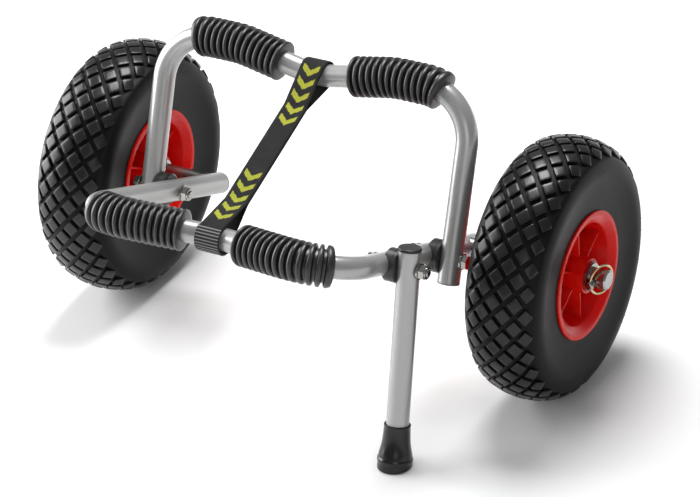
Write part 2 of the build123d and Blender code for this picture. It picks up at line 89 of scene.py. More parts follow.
# %% [markdown]
# The camera comes first, because every later choice is judged through it. The photograph was
# taken from far away with a long lens, a little above the cart, and the picture leans by three
# degrees. The three directions below are the camera's right, up and backward axes.

# %% Camera
camera_place = Vector((1.65150, -2.60157, 1.93576))
camera_right = Vector((0.86604, 0.49730, -0.05157))
camera_up = Vector((-0.21466, 0.46300, 0.85997))
camera_back = Vector((0.45154, -0.73370, 0.50773))
camera_data = bpy.data.cameras.new("portrait_lens")
camera_data.sensor_width = 36
camera_data.lens = 187.5
camera_data.clip_end = 30
camera = bpy.data.objects.new("portrait_camera", camera_data)
bpy.context.scene.collection.objects.link(camera)
turn_matrix = Matrix((camera_right, camera_up, camera_back)).transposed().to_4x4()
camera.matrix_world = Matrix.Translation(camera_place) @ turn_matrix
bpy.context.scene.camera = camera
bpy.context.scene.view_settings.view_transform = "Standard"
print("camera distance", round((camera_place - wheel_centre).length, 3))


# %% [markdown]
# Steps that many pieces repeat are small helpers: grow an outline from one point with extrude, spin
# it round an axle, finish it with a modifier, copy it to the other side. An operator acts on
# whatever is selected, so each helper begins by clearing the selection.

# %% Helpers for selecting, extruding and finishing
def clear_selection():
    """Back to object mode with nothing selected."""
    if bpy.context.object and bpy.context.object.mode != "OBJECT":
        bpy.ops.object.mode_set(mode="OBJECT")
    bpy.ops.object.select_all(action="DESELECT")


def pick(piece):
    """Select one piece and make it the active one."""
    clear_selection()
    piece.select_set(True)
    bpy.context.view_layer.objects.active = piece
    return piece


def rename(piece, name):
    """Give an object and its mesh one name."""
    piece.name = name
    piece.data.name = name
    return piece


def open_edit(piece):
    """Start to edit one piece, with all of it selected."""
    pick(piece)
    bpy.ops.object.mode_set(mode="EDIT")
    bpy.ops.mesh.select_all(action="SELECT")
    return piece


def close_edit():
    """Back to object mode."""
    bpy.ops.object.mode_set(mode="OBJECT")


def close_normals(piece):
    """Point every face of a closed mesh outwards."""
    open_edit(piece)
    bpy.ops.mesh.normals_make_consistent(inside=False)
    close_edit()
    return piece


def draw_ring(name, places):
    """A ring of edges through the places, grown from a single point by extruding it.
    It is left in edit mode, with all of it selected."""
    clear_selection()
    bpy.ops.mesh.primitive_circle_add(vertices=3, radius=MM)
    piece = open_edit(rename(bpy.context.object, name))
    bpy.ops.mesh.merge(type="CENTER")
    bpy.ops.transform.translate(value=Vector(places[0]))
    for before, after in zip(places, places[1:] + places[:1]):
        step = Vector(after) - Vector(before)
        bpy.ops.mesh.extrude_vertices_move(TRANSFORM_OT_translate={"value": step})
    bpy.ops.mesh.select_all(action="SELECT")
    bpy.ops.mesh.remove_doubles(threshold=0.002 * MM)
    return piece


def turn_piece(name, profile, centre, axis, steps):
    """A turned piece: profile pairs are (distance along the axis, radius) in millimetres."""
    along = Vector(axis).normalized()
    outward = along.orthogonal().normalized()
    places = [Vector(centre) + along * (a * MM) + outward * (r * MM) for a, r in profile]
    piece = draw_ring(name, places)
    bpy.ops.mesh.spin(steps=steps, angle=2 * pi, center=centre, axis=along)
    bpy.ops.mesh.select_all(action="SELECT")
    bpy.ops.mesh.remove_doubles(threshold=0.004 * MM)
    close_edit()
    return close_normals(piece)


def finish(piece, kind, **values):
    """Add a modifier with these values and apply it."""
    pick(piece)
    modifier = piece.modifiers.new(kind.title(), kind)
    for value_name, value in values.items():
        setattr(modifier, value_name, value)
    bpy.ops.object.modifier_apply(modifier=modifier.name)
    return piece


def round_edges(piece, width, segments=3, angle=30):
    """Bevel every edge sharper than the angle. The width is in millimetres."""
    return finish(
        piece, "BEVEL", width=width * MM, segments=segments, limit_method="ANGLE",
        angle_limit=radians(angle), use_clamp_overlap=True,
    )


def smooth(piece, angle=38):
    """Smooth shading that keeps edges sharper than the angle."""
    pick(piece)
    bpy.ops.object.shade_smooth_by_angle(angle=radians(angle))
    return piece


def copy_piece(piece, name):
    """A copy with its own mesh."""
    pick(piece)
    bpy.ops.object.duplicate()
    return rename(bpy.context.object, name)


def mirror_piece(piece, name):
    """The copy for the other side of the cart."""
    other = copy_piece(piece, name)
    other.scale.x = -1
    bpy.ops.object.transform_apply(location=False, rotation=False, scale=True)
    return close_normals(other)


def join_pieces(pieces, name):
    """Several objects as one piece."""
    clear_selection()
    for part in pieces:
        part.select_set(True)
    bpy.context.view_layer.objects.active = pieces[0]
    bpy.ops.object.join()
    return rename(bpy.context.object, name)


def turn_copies(piece, name, count, centre, axis):
    """The piece repeated round an axis and joined."""
    copies = [piece]
    for number in range(1, count):
        twin = copy_piece(piece, f"{name}_{number}")
        turn = Matrix.Rotation(2 * pi * number / count, 4, Vector(axis))
        twin.data.transform(
            Matrix.Translation(centre) @ turn @ Matrix.Translation(-Vector(centre))
        )
        copies.append(twin)
    return join_pieces(copies, name)


def triangles(piece):
    """How many triangles a piece has."""
    piece.data.calc_loop_triangles()
    return len(piece.data.loop_triangles)


def paint(piece, finish_material):
    """Give the whole piece one finish."""
    piece.data.materials.clear()
    piece.data.materials.append(finish_material)
    return piece


def fit(piece, body, slot, finish_material, *replaced):
    """Ride on a body, take a finish, and stand for frame nodes. The slot is not used."""
    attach(piece, body)
    if finish_material:
        paint(piece, finish_material)
    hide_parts(*replaced)
    print(piece.name, "on", body, triangles(piece), "triangles")


# %% [markdown]
# Finishes are made of nodes. Grain, dust and wear turn up in nearly every one of them, so each
# is a node group with named inputs and outputs: built once here, and placed in a material with
# values of its own. The groups only put out colours, masks and heights. The shader stays in the
# material, where the gloss of each finish is set.

# %% Helpers for node groups
def new_group(name, inputs, outputs):
    """An empty shader group with the given sockets."""
    group = bpy.data.node_groups.new(name, "ShaderNodeTree")
    for socket_name, kind, value in inputs:
        socket = group.interface.new_socket(socket_name, in_out="INPUT", socket_type=kind)
        socket.default_value = value
    for socket_name, kind in outputs:
        group.interface.new_socket(socket_name, in_out="OUTPUT", socket_type=kind)
    return group, group.nodes.new("NodeGroupInput"), group.nodes.new("NodeGroupOutput")


def set_inputs(node, values):
    """Set sockets by their names."""
    for socket_name, value in values.items():
        node.inputs[socket_name].default_value = value


def put(tree, kind, inputs=None, **values):
    """Add a node, and set its properties and its inputs."""
    node = tree.nodes.new(kind)
    for value_name, value in values.items():
        setattr(node, value_name, value)
    set_inputs(node, inputs or {})
    return node


def wire(tree, source, target):
    """Link an output to an input."""
    tree.links.new(source, target)


def calc(tree, operation, first, second=None, third=None, clamp=False):
    """A math node, with numbers or sockets on its inputs."""
    node = put(tree, "ShaderNodeMath", operation=operation, use_clamp=clamp)
    for index, value in enumerate((first, second, third)):
        if value is None:
            continue
        if isinstance(value, (int, float)):
            node.inputs[index].default_value = value
        else:
            wire(tree, value, node.inputs[index])
    return node.outputs[0]


def blend_colours(tree, share, first, second):
    """A mix node for colours. The inputs are sockets or colours."""
    node = put(tree, "ShaderNodeMix", data_type="RGBA")
    for index, value in zip((0, 6, 7), (share, first, second)):
        socket = node.inputs[index]
        if isinstance(value, bpy.types.NodeSocket):
            wire(tree, value, socket)
        else:
            socket.default_value = value
    return node.outputs[2]


def ramp(tree, value, low, high):
    """A mask that climbs smoothly from 0 at low to 1 at high."""
    node = put(tree, "ShaderNodeMapRange", {"From Min": low, "From Max": high},
               interpolation_type="SMOOTHSTEP")
    wire(tree, value, node.inputs["Value"])
    return node.outputs[0]


def speckle(tree, scale, detail, roughness):
    """Noise on Object coordinates, at the scale that a socket gives."""
    noise = put(tree, "ShaderNodeTexNoise", {"Detail": detail, "Roughness": roughness})
    wire(tree, put(tree, "ShaderNodeTexCoord").outputs["Object"], noise.inputs["Vector"])
    wire(tree, scale, noise.inputs["Scale"])
    return noise.outputs["Fac"]


FLOAT, COLOUR = "NodeSocketFloat", "NodeSocketColor"
WHITE, BLACK = (1, 1, 1, 1), (0, 0, 0, 1)

# %% Group: grain, a fine unevenness of colour, gloss and height
grain, grain_in, grain_out = new_group(
    "Grain",
    [("Colour", COLOUR, WHITE), ("Tint", COLOUR, BLACK), ("Tint Share", FLOAT, 0.2),
     ("Scale", FLOAT, 400.0), ("Patch Scale", FLOAT, 30.0), ("Roughness", FLOAT, 0.5),
     ("Spread", FLOAT, 0.1)],
    [("Colour", COLOUR), ("Roughness", FLOAT), ("Height", FLOAT)],
)
fine_noise = speckle(grain, grain_in.outputs["Scale"], 3.0, 0.6)
patch_noise = speckle(grain, grain_in.outputs["Patch Scale"], 4.0, 0.55)
patch_mask = ramp(grain, patch_noise, 0.35, 0.7)
tint_share = calc(grain, "MULTIPLY", patch_mask, grain_in.outputs["Tint Share"])
wire(grain, blend_colours(grain, tint_share, grain_in.outputs["Colour"], grain_in.outputs["Tint"]),
     grain_out.inputs["Colour"])
centred = calc(grain, "SUBTRACT", patch_noise, 0.5)
spread = calc(grain, "MULTIPLY", centred, grain_in.outputs["Spread"])
wire(grain, calc(grain, "ADD", spread, grain_in.outputs["Roughness"]), grain_out.inputs["Roughness"])
wire(grain, fine_noise, grain_out.inputs["Height"])


# %% Helper: a group that lays a second colour where a place and a noise agree
def layer_group(name, layer_name, layer_colour, scale, cloud):
    """Make the group and its noise. Returns the group and a function that takes its place mask."""
    group, group_in, group_out = new_group(
        name,
        [("Colour", COLOUR, WHITE), (layer_name, COLOUR, layer_colour), ("Amount", FLOAT, 0.2),
         ("Scale", FLOAT, scale)],
        [("Colour", COLOUR), ("Mask", FLOAT)],
    )
    detail, roughness, low, high = cloud
    patches = ramp(group, speckle(group, group_in.outputs["Scale"], detail, roughness), low, high)

    def lay_over(where):
        mask = calc(group, "MULTIPLY", where, patches)
        mask = calc(group, "MULTIPLY", mask, group_in.outputs["Amount"])
        mixed = blend_colours(group, mask, group_in.outputs["Colour"], group_in.outputs[layer_name])
        wire(group, mixed, group_out.inputs["Colour"])
        wire(group, mask, group_out.inputs["Mask"])

    return group, lay_over


# %% Group: dust that settles on faces that look up
dust_brown = (0.35, 0.31, 0.26, 1)
dust_cloud = (5.0, 0.65, 0.42, 0.72)
dust, lay_dust = layer_group("Settled dust", "Dust Colour", dust_brown, 60.0, dust_cloud)
dust_facing = put(dust, "ShaderNodeSeparateXYZ")
wire(dust, put(dust, "ShaderNodeNewGeometry").outputs["Normal"], dust_facing.inputs[0])
lay_dust(ramp(dust, dust_facing.outputs["Z"], 0.1, 0.95))

# %% Group: worn edges, from how sharply the surface turns outwards; on the grips the same pale edges are also a painted highlight
wear, lay_wear_and_highlight = layer_group("Edge wear and highlight", "Wear Colour", WHITE, 120.0, (4.0, 0.7, 0.35, 0.65))
wear_geometry = put(wear, "ShaderNodeNewGeometry")
lay_wear_and_highlight(ramp(wear, wear_geometry.outputs["Pointiness"], 0.505, 0.56))
print("groups", [group.name for group in bpy.data.node_groups])


# %% [markdown]
# A finish starts the same way each time: grain feeds dust, dust feeds wear, and their colour,
# roughness and height go to one shader. Only numbers differ between a foam grip and a zinc bolt,
# so one helper builds the chain and each finish gives it values.

# %% Helper: a finish from the three groups
def make_finish(name, colour, roughness, *, tint=(None, 0.25), noise=(500, 25), spread=0.12,
                relief=(0.15, 0.1), metallic=0.0, settled=0.0, edges=(0.0, None), specular=0.5):
    """A material with grain, dust and worn edges. Returns its pieces for later changes.

    tint: second colour and its share. noise: fine and coarse scale. spread: of the roughness.
    relief: strength and millimetres. settled: amount of dust. edges: amount and colour of pale
    edges, which are wear, and on the grips also a painted highlight.
    """
    material = bpy.data.materials.new(name)
    material.use_nodes = True
    tree = material.node_tree
    shader = tree.nodes["Principled BSDF"]
    set_inputs(shader, {"Metallic": metallic, "Specular IOR Level": specular})
    grains = put(tree, "ShaderNodeGroup", node_tree=grain)
    set_inputs(grains, {
        "Colour": (*colour, 1), "Tint": (*(tint[0] or [v * 0.6 for v in colour]), 1),
        "Tint Share": tint[1], "Scale": noise[0], "Patch Scale": noise[1],
        "Roughness": roughness, "Spread": spread,
    })
    dusty = put(tree, "ShaderNodeGroup", node_tree=dust)
    set_inputs(dusty, {"Amount": settled})
    wire(tree, grains.outputs["Colour"], dusty.inputs["Colour"])
    worn = put(tree, "ShaderNodeGroup", node_tree=wear)
    wear_colour = edges[1] or [min(1, v * 2) for v in colour]
    set_inputs(worn, {"Amount": edges[0], "Wear Colour": (*wear_colour, 1)})
    wire(tree, dusty.outputs["Colour"], worn.inputs["Colour"])
    wire(tree, worn.outputs["Colour"], shader.inputs["Base Color"])
    wire(tree, grains.outputs["Roughness"], shader.inputs["Roughness"])
    bump = put(tree, "ShaderNodeBump", {"Strength": relief[0], "Distance": relief[1] * MM})
    wire(tree, grains.outputs["Height"], bump.inputs["Height"])
    wire(tree, bump.outputs["Normal"], shader.inputs["Normal"])
    return {"material": material, "tree": tree, "shader": shader, "wear": worn, "bump": bump}


# %% [markdown]
# The tubes are drawn aluminium, a dull silver that shows soft bands of light. The axles are bright
# steel, and bolts, nuts and pins are zinc plated, with a patchier grey. The snap rings have a yellow
# zinc. Full metallic values suit the steel, and the tubes get about half, for their dull oxide skin.

# %% Finishes of the metal pieces
tube_finish = make_finish(
    "satin_silver_tube", (0.40, 0.40, 0.395), 0.30, tint=((0.37, 0.37, 0.365), 0.3),
    noise=(900, 14), spread=0.06, relief=(0.10, 0.03), metallic=0.55,
)["material"]
axle_finish = make_finish(
    "bright_axle_steel", (0.36, 0.37, 0.37), 0.24, tint=((0.26, 0.27, 0.27), 0.25), noise=(700, 40),
    spread=0.15, relief=(0.15, 0.03), metallic=1.0,
)["material"]
zinc_finish = make_finish(
    "zinc_plated_steel", (0.36, 0.355, 0.34), 0.22, tint=((0.22, 0.20, 0.16), 0.5), noise=(600, 90),
    spread=0.25, relief=(0.2, 0.03), metallic=1.0,
)["material"]
brass_zinc_finish = make_finish(
    "yellow_zinc_wire", (0.62, 0.50, 0.26), 0.20, tint=((0.44, 0.38, 0.26), 0.6), noise=(500, 120),
    spread=0.2, relief=(0.15, 0.03), metallic=1.0,
)["material"]


# %% [markdown]
# Black plastic, foam and rubber are all nearly black. What tells them apart is gloss: a moulded
# saddle or the ferrule reflects a lamp as a small spot, and foam as a broad pale sheen. The rims are
# red right through, with a little paler wear on their edges.

# %% Finishes of plastic, rubber and foam
saddle_finish = make_finish(
    "black_moulded_plastic", (0.010, 0.010, 0.0105), 0.34, tint=((0.018, 0.018, 0.018), 0.5),
    noise=(1100, 60), spread=0.16, relief=(0.3, 0.05), edges=(0.25, (0.08, 0.08, 0.08)),
    specular=0.4,
)["material"]
foot_finish = make_finish(
    "foot_rubber", (0.0045, 0.0045, 0.004), 0.22, tint=((0.008, 0.008, 0.0075), 0.6),
    noise=(800, 50), spread=0.12, relief=(0.2, 0.05), settled=0.02,
    edges=(0.15, (0.05, 0.05, 0.05)), specular=0.4,
)["material"]
rim_finish = make_finish(
    "red_moulded_rim", (0.68, 0.005, 0.003), 0.25, tint=((0.50, 0.003, 0.002), 0.3),
    noise=(500, 35), spread=0.10, relief=(0.10, 0.04), edges=(0.10, (0.85, 0.12, 0.07)),
    specular=0.13,
)["material"]
bush_finish = make_finish(
    "red_bearing_plastic", (0.30, 0.004, 0.003), 0.35, tint=((0.22, 0.004, 0.003), 0.25),
    noise=(700, 60), relief=(0.2, 0.05),
)["material"]
plug_finish = make_finish(
    "grey_plug_plastic", (0.20, 0.20, 0.20), 0.5, tint=((0.16, 0.16, 0.16), 0.25), noise=(900, 60),
    relief=(0.2, 0.05),
)["material"]
core_finish = make_finish(
    "core_foam", (0.16, 0.16, 0.17), 0.85, noise=(900, 80), relief=(0.8, 0.4),
)["material"]
print("finishes", len(bpy.data.materials))


# %% [markdown]
# The cart stands in a plain white studio. The floor is one wide sheet, and away from the cart it
# takes on the white of the world round it, so no horizon shows. White comes from the colour of
# the sheet and of the world as the camera sees them, never from brighter lamps. Near the cart the
# sheet has no light of its own, so it keeps the cart's soft shadow.

# %% Floor
floor_width = 14
shadow_reach, white_reach = 0.5, 2.0
clear_selection()
bpy.ops.mesh.primitive_plane_add(size=1, location=(0, 0, -0.4 * MM))
floor = open_edit(rename(bpy.context.object, "studio_floor"))
bpy.ops.transform.resize(value=(floor_width, floor_width, 1))
close_edit()
bpy.ops.object.transform_apply(location=True, rotation=True, scale=True)
floor_material = bpy.data.materials.new("studio_white")
floor_material.use_nodes = True
tree = floor_material.node_tree
floor_shader = tree.nodes["Principled BSDF"]
set_inputs(floor_shader, {
    "Base Color": (0.80, 0.80, 0.80, 1), "Roughness": 0.6, "Specular IOR Level": 0.2,
})
seen_by = put(tree, "ShaderNodeLightPath").outputs
seen = calc(tree, "MAXIMUM", seen_by["Is Camera Ray"], seen_by["Is Glossy Ray"])
seen = calc(tree, "MAXIMUM", seen, seen_by["Is Transmission Ray"])
from_cart = put(tree, "ShaderNodeVectorMath", operation="LENGTH")
wire(tree, put(tree, "ShaderNodeTexCoord").outputs["Object"], from_cart.inputs[0])
far_away = ramp(tree, from_cart.outputs["Value"], shadow_reach, white_reach)
floor_glow = put(tree, "ShaderNodeEmission", {"Color": WHITE})
wire(tree, calc(tree, "MULTIPLY", seen, far_away), floor_glow.inputs["Strength"])
floor_sum = put(tree, "ShaderNodeAddShader")
wire(tree, floor_shader.outputs[0], floor_sum.inputs[0])
wire(tree, floor_glow.outputs[0], floor_sum.inputs[1])
wire(tree, floor_sum.outputs[0], tree.nodes["Material Output"].inputs["Surface"])
floor.data.materials.append(floor_material)

# %% World: an even grey that lights, a white that is seen
world = bpy.data.worlds.new("studio_world")
bpy.context.scene.world = world
world.use_nodes = True
tree = world.node_tree
world_light = tree.nodes["Background"]
set_inputs(world_light, {"Color": (0.97, 0.98, 1.0, 1), "Strength": 0.29})
world_seen = put(tree, "ShaderNodeBackground", {"Color": WHITE, "Strength": 1.0})
world_path = put(tree, "ShaderNodeLightPath").outputs
world_white = calc(tree, "MAXIMUM", world_path["Is Camera Ray"], world_path["Is Transmission Ray"])
world_mix = put(tree, "ShaderNodeMixShader")
wire(tree, world_white, world_mix.inputs[0])
wire(tree, world_light.outputs[0], world_mix.inputs[1])
wire(tree, world_seen.outputs[0], world_mix.inputs[2])
wire(tree, world_mix.outputs[0], tree.nodes["World Output"].inputs["Surface"])


# %% [markdown]
# Three soft boxes light the cart. The largest share comes from above and a little behind, so the
# shadows fall towards the camera. One low on the left draws the pale bands on the tubes, and a weak
# one in front opens the shadows in the wheels.

# %% Lamps
flat_right = Vector((camera_right.x, camera_right.y, 0)).normalized()
flat_back = Vector((camera_back.x, camera_back.y, 0)).normalized()
cart_middle = Vector((0, 0, 0.14))
lamps = (  # name, metres to the right, towards the camera and up, size in metres, watts
    ("key_box", 0.2, -0.7, 1.9, 1.0, 56),
    ("left_box", -1.6, -0.6, 0.6, 1.6, 62),
    ("front_box", 0.2, 2.2, 0.9, 1.2, 6),
)
for name, right, back, up, size, power in lamps:
    lamp_data = bpy.data.lights.new(name, "AREA")
    lamp_data.size = size
    lamp_data.energy = power
    lamp = bpy.data.objects.new(name, lamp_data)
    bpy.context.scene.collection.objects.link(lamp)
    place = cart_middle + right * flat_right + back * flat_back + Vector((0, 0, up))
    lamp.location = place
    lamp.rotation_euler = (cart_middle - place).to_track_quat("-Z", "Y").to_euler()
print("lamps", len(lamps))


# %% [markdown]
# Both hoops are one aluminium tube each, cold bent round formers. A Bezier line follows the middle
# of the tube: straight runs, and a true arc at each bend, whose handles are 4/3 tan(angle / 4) of
# its radius long. Giving that line a round bevel makes the tube, and the same line bends the foam
# grips later on, so tube and grip can't disagree.

# %% Centre line and wall of a bent tube
def bend_line(name, corners, radii):
    """A Bezier curve through the corners, with an arc at each inner one. Radii in millimetres."""
    corners = [Vector(c) for c in corners]
    knots = [(corners[0], (corners[1] - corners[0]).normalized(), 0, 0)]
    radii = [radius * MM for radius in radii]
    for before, corner, after, radius in zip(corners, corners[1:], corners[2:], radii):
        way_in, way_out = (corner - before).normalized(), (after - corner).normalized()
        angle = acos(max(-1, min(1, way_in.dot(way_out))))
        reach = radius * tan(angle / 2)
        handle = 4 / 3 * tan(angle / 4) * radius
        knots.append((corner - way_in * reach, way_in, 0, handle))
        knots.append((corner + way_out * reach, way_out, handle, 0))
    knots.append((corners[-1], (corners[-1] - corners[-2]).normalized(), 0, 0))
    clear_selection()
    bpy.ops.curve.primitive_bezier_curve_add()
    line = rename(bpy.context.object, name)
    points = line.data.splines[0].bezier_points
    points.add(len(knots) - len(points))
    length = 0
    for index, (point, (place, way, handle_in, handle_out)) in enumerate(zip(points, knots)):
        before = (place - knots[index - 1][0]).length / 3 if index else 0.01
        after = (knots[index + 1][0] - place).length / 3 if index + 1 < len(knots) else 0.01
        point.handle_left_type = point.handle_right_type = "FREE"
        point.co = place
        point.handle_left = place - way * (handle_in or before)
        point.handle_right = place + way * (handle_out or after)
    line.data.resolution_u = 24
    return line


def tube_from(line, name, radius):
    """A solid round tube along a copy of the line, as a mesh."""
    tube = copy_piece(line, name)
    tube.data.bevel_depth = radius
    tube.data.bevel_resolution = 16
    tube.data.use_fill_caps = True
    bpy.ops.object.convert(target="MESH")
    tube = open_edit(rename(bpy.context.object, name))
    bpy.ops.mesh.remove_doubles(threshold=0.01 * MM)
    close_edit()
    return smooth(close_normals(tube))


def hoop_corners(way, half_width, reach, tail):
    """The corners of a hoop, from one open end to the other. Lengths are in millimetres."""
    knee, dip = 85, 15
    flat = [
        (-half_width, -tail), (-half_width, reach), (-knee, reach), (0, reach - dip), (knee, reach),
        (half_width, reach), (half_width, -tail),
    ]
    start = Vector((0, pivot.y, pivot.z))
    return [start + Vector((x * MM, 0, 0)) + way * (along * MM) for x, along in flat]


# %% Front and rear hoop
front_reach, rear_reach = 173, 160
arm_past_axle, leg_past_pivot = 14, 22.5
pivot_run = (Vector((0, axle_y, axle_z)) - Vector((0, pivot.y, pivot.z))).length / MM
front_line = bend_line(
    "front_line", hoop_corners(arm_way, arm_x / MM, front_reach, pivot_run + arm_past_axle),
    (47, 100, 120, 100, 47),
)
rear_line = bend_line(
    "rear_line", hoop_corners(leg_way, leg_x / MM, rear_reach, leg_past_pivot),
    (50, 100, 120, 100, 50),
)
for line, name, body, node in (
    (front_line, "front_hoop_tube", "front_frame", "front_hoop"),
    (rear_line, "rear_hoop_tube", "rear_frame", "rear_hoop"),
):
    fit(tube_from(line, name, tube_radius), body, "tube", tube_finish, node)

# %% Kickstand tube
stand_start = Vector((leg_x, stand_bolt.y, stand_bolt.z))
stand_run = stand_bolt.z / cos(stand_lean)
stand_tip = stand_start - stand_way * (stand_run - 9 * MM)
stand_top = stand_start + stand_way * (18 * MM)
stand_line = bend_line("stand_line", [stand_tip, stand_start, stand_top], (1,))
stand_tube = tube_from(stand_line, "kickstand_tube", tube_radius)
fit(stand_tube, "kickstand", "tube", tube_finish, "stand_tube")
bpy.data.objects.remove(stand_line)


# %% [markdown]
# The rubber foot is a chair ferrule. Its outline is turned about the stand: a thin lip round the
# tube, a sleeve that flares towards the floor, a bead and a worn sole. The stand leans, so a cut at
# floor height squares the sole off, as wear does.

# %% Rubber foot
def on_stand(height):
    """Point on the stand's axis at a height along it, counted in millimetres from the floor."""
    return stand_start - stand_way * (stand_run - height * MM)


foot_outline = [
    (42, 11.1), (42, 12.2), (41.6, 12.8), (40.9, 13.0), (40.0, 12.8), (36, 12.9), (30, 13.2),
    (24, 13.7), (19, 14.5), (15, 15.4), (12, 16.1), (9.6, 16.4), (8.9, 16.5), (8.2, 17.1),
    (6.6, 17.4), (5.0, 17.3), (4.2, 16.8), (2, 16.8), (-3, 16.9), (-5, 17.0), (-5, 11.1),
]
sole_height = 0.02 * MM
foot = open_edit(turn_piece("rubber_foot", foot_outline, on_stand(0), stand_way, steps=72))
bpy.ops.mesh.bisect(
    plane_co=(0, 0, sole_height), plane_no=(0, 0, 1), use_fill=True, clear_inner=True
)
close_edit()
smooth(close_normals(foot), 40)
fit(foot, "kickstand", "foot_rubber", foot_finish, "stand_foot")
print("foot box", [round(v / MM, 1) for v in foot.dimensions])


# %% [markdown]
# The grips are ribbed foam sleeves pushed over the bars. One sleeve is turned straight: an outline
# of fourteen rounded ribs, spun round the X axis. A Curve modifier then lays it along the bar's own
# centre line. Turning it straight and bending it later keeps every rib square to the tube.

# %% Outline of a ribbed sleeve
rib_count = 14
grip_bore = 11.05
rib_shape = (  # share of the pitch, radius
    (0.0, 15.9), (0.03, 16.6), (0.07, 18.0), (0.12, 19.2), (0.20, 19.9), (0.37, 20.1),
    (0.54, 19.9), (0.62, 19.2), (0.67, 18.0), (0.71, 16.6), (0.74, 15.9),
)
last_rib_extra = 0.2


def rib_outline(start, length):
    """Outline pairs of a ribbed sleeve, in millimetres, with its bore closing it."""
    pitch = length / rib_count
    pairs = [(start, grip_bore)]
    for rib in range(rib_count):
        pairs += [(start + (rib + share) * pitch, radius) for share, radius in rib_shape]
    pairs[-4:] = [(along + last_rib_extra * pitch, radius) for along, radius in pairs[-4:]]
    return pairs + [(pairs[-1][0], grip_bore)]


# %% Grips, each with its own start and length from the middle of the bar
# The pale rib crests are partly worn foam and partly a painted highlight, through the edge colour.
grip_foam_worn_and_highlit = make_finish(
    "ribbed_grip_foam", (0.012, 0.012, 0.0115), 0.36, tint=((0.009, 0.009, 0.009), 0.6),
    noise=(1300, 45), spread=0.14, relief=(0.4, 0.08), edges=(0.3, (0.06, 0.06, 0.058)),
    specular=0.5,
)["material"]
grip_spans = {
    ("left", "front"): (31, 93), ("right", "front"): (34, 98),
    ("left", "rear"): (37.5, 98), ("right", "rear"): (42, 98),
}
for line, place, body in ((front_line, "front", "front_frame"), (rear_line, "rear", "rear_frame")):
    half_length = line.data.splines[0].calc_length() / 2 / MM
    for side_name, side in sides:
        outline = rib_outline(*grip_spans[side_name, place])
        pairs = [(half_length + side * along, radius) for along, radius in outline]
        grip = turn_piece(f"{side_name}_{place}_grip_foam", pairs, (0, 0, 0), (1, 0, 0), steps=56)
        finish(grip, "CURVE", object=line, deform_axis="POS_X")
        smooth(close_normals(grip), 60)
        fit(grip, body, "grip_foam", grip_foam_worn_and_highlit, f"{side_name}_{place}_grip")


# %% [markdown]
# A trolley tyre has a rounded crown with diamond blocks that shrink into smooth walls. The outline
# of its outer skin is three arcs, and one function says where a point of that skin is, counted in
# millimetres of rubber from the middle of the crown. The body of the tyre is turned from the
# outline, sunk by the depth of the grooves under the tread.

# %% Skin of the tyre
def arc_from(start, way, end, steps):
    """Points of the arc that leaves start in a direction and ends at end, and its last direction."""
    start, way, end = Vector(start), Vector(way).normalized(), Vector(end)
    chord = end - start
    normal = Vector((way.y, -way.x))
    radius = chord.length_squared / (2 * chord.dot(normal))
    centre = start + normal * radius
    spoke = start - centre
    total = 2 * atan2(way.cross(chord), way.dot(chord))
    points = []
    for step in range(1, steps + 1):
        turn = Matrix.Rotation(total * step / steps, 2)
        points.append(centre + turn @ spoke)
    return points, Matrix.Rotation(total, 2) @ way


tyre_top = 130
crown_half, crown_drop = 24, 4.5
widest, bead = (39, 97), (34.5, 64)
crown_radius = (crown_half ** 2 + crown_drop ** 2) / (2 * crown_drop)
edge_angle = atan2(crown_half, crown_radius - crown_drop)
skin = [
    Vector((crown_radius * sin(a), tyre_top - crown_radius + crown_radius * cos(a)))
    for a in [edge_angle * k / 12 for k in range(13)]
]
shoulder, shoulder_way = arc_from(skin[-1], (cos(edge_angle), -sin(edge_angle)), widest, 16)
wall, _ = arc_from(widest, shoulder_way, bead, 14)
skin += shoulder + wall
skin_run = [0.0]
for before, after in zip(skin, skin[1:]):
    skin_run.append(skin_run[-1] + (after - before).length)
print("skin from crown to bead", round(skin_run[-1], 1), "mm")


def skin_place(run, height=0.0):
    """(offset, radius) of the skin at a run from the crown, raised by a height."""
    run = min(run, skin_run[-1])
    index = next(i for i in range(1, len(skin_run)) if run <= skin_run[i] + 1e-9)
    share = (run - skin_run[index - 1]) / (skin_run[index] - skin_run[index - 1])
    along = skin[index] - skin[index - 1]
    normal = Vector((-along.y, along.x)).normalized()
    spot = skin[index - 1] + along * share + normal * height
    return spot.x, spot.y


# %% Body of the tyre
groove_depth = 3.2
groove_end, tread_end = 33, 43
rim_seat = 58


def sunk(run):
    """How deep the body of the tyre lies under its skin at a run from the crown."""
    if run <= groove_end:
        return groove_depth
    if run >= tread_end:
        return 0.0
    share = (run - groove_end) / (tread_end - groove_end)
    return groove_depth * (1 - share * share * (3 - 2 * share))


body_runs = [
    0, 4, 8, 12, 16, 20, 24, 28, 31, 33, 34.5, 36, 37.5, 39, 40.5, 42, 43, 46, 50, 54, 58, 62, 66,
    70, 73, 76, 79,
]
half_body = [skin_place(run, -sunk(run)) for run in body_runs if run < skin_run[-1]]
half_body += [(34.6, 64.4), (34.5, rim_seat)]
whole = half_body + [(24, rim_seat), (0, rim_seat)]
tyre_outline = whole + [(-offset, radius) for offset, radius in reversed(whole[1:-1])]
carcass = turn_piece("right_tyre_body", tyre_outline, wheel_centre, (1, 0, 0), steps=132)
print("tyre body", triangles(carcass), "triangles")


# %% [markdown]
# The tread is modelled flat, as a strip, and then wrapped round the tyre. One block is a square
# grid turned on its corner, given a thickness and a small bevel. An Array modifier repeats it
# thirty-three times along the strip, and seven such rows lie side by side, each second one half a
# step on. Wrapping moves each corner: sideways becomes a run over the skin, and lengthways an angle.

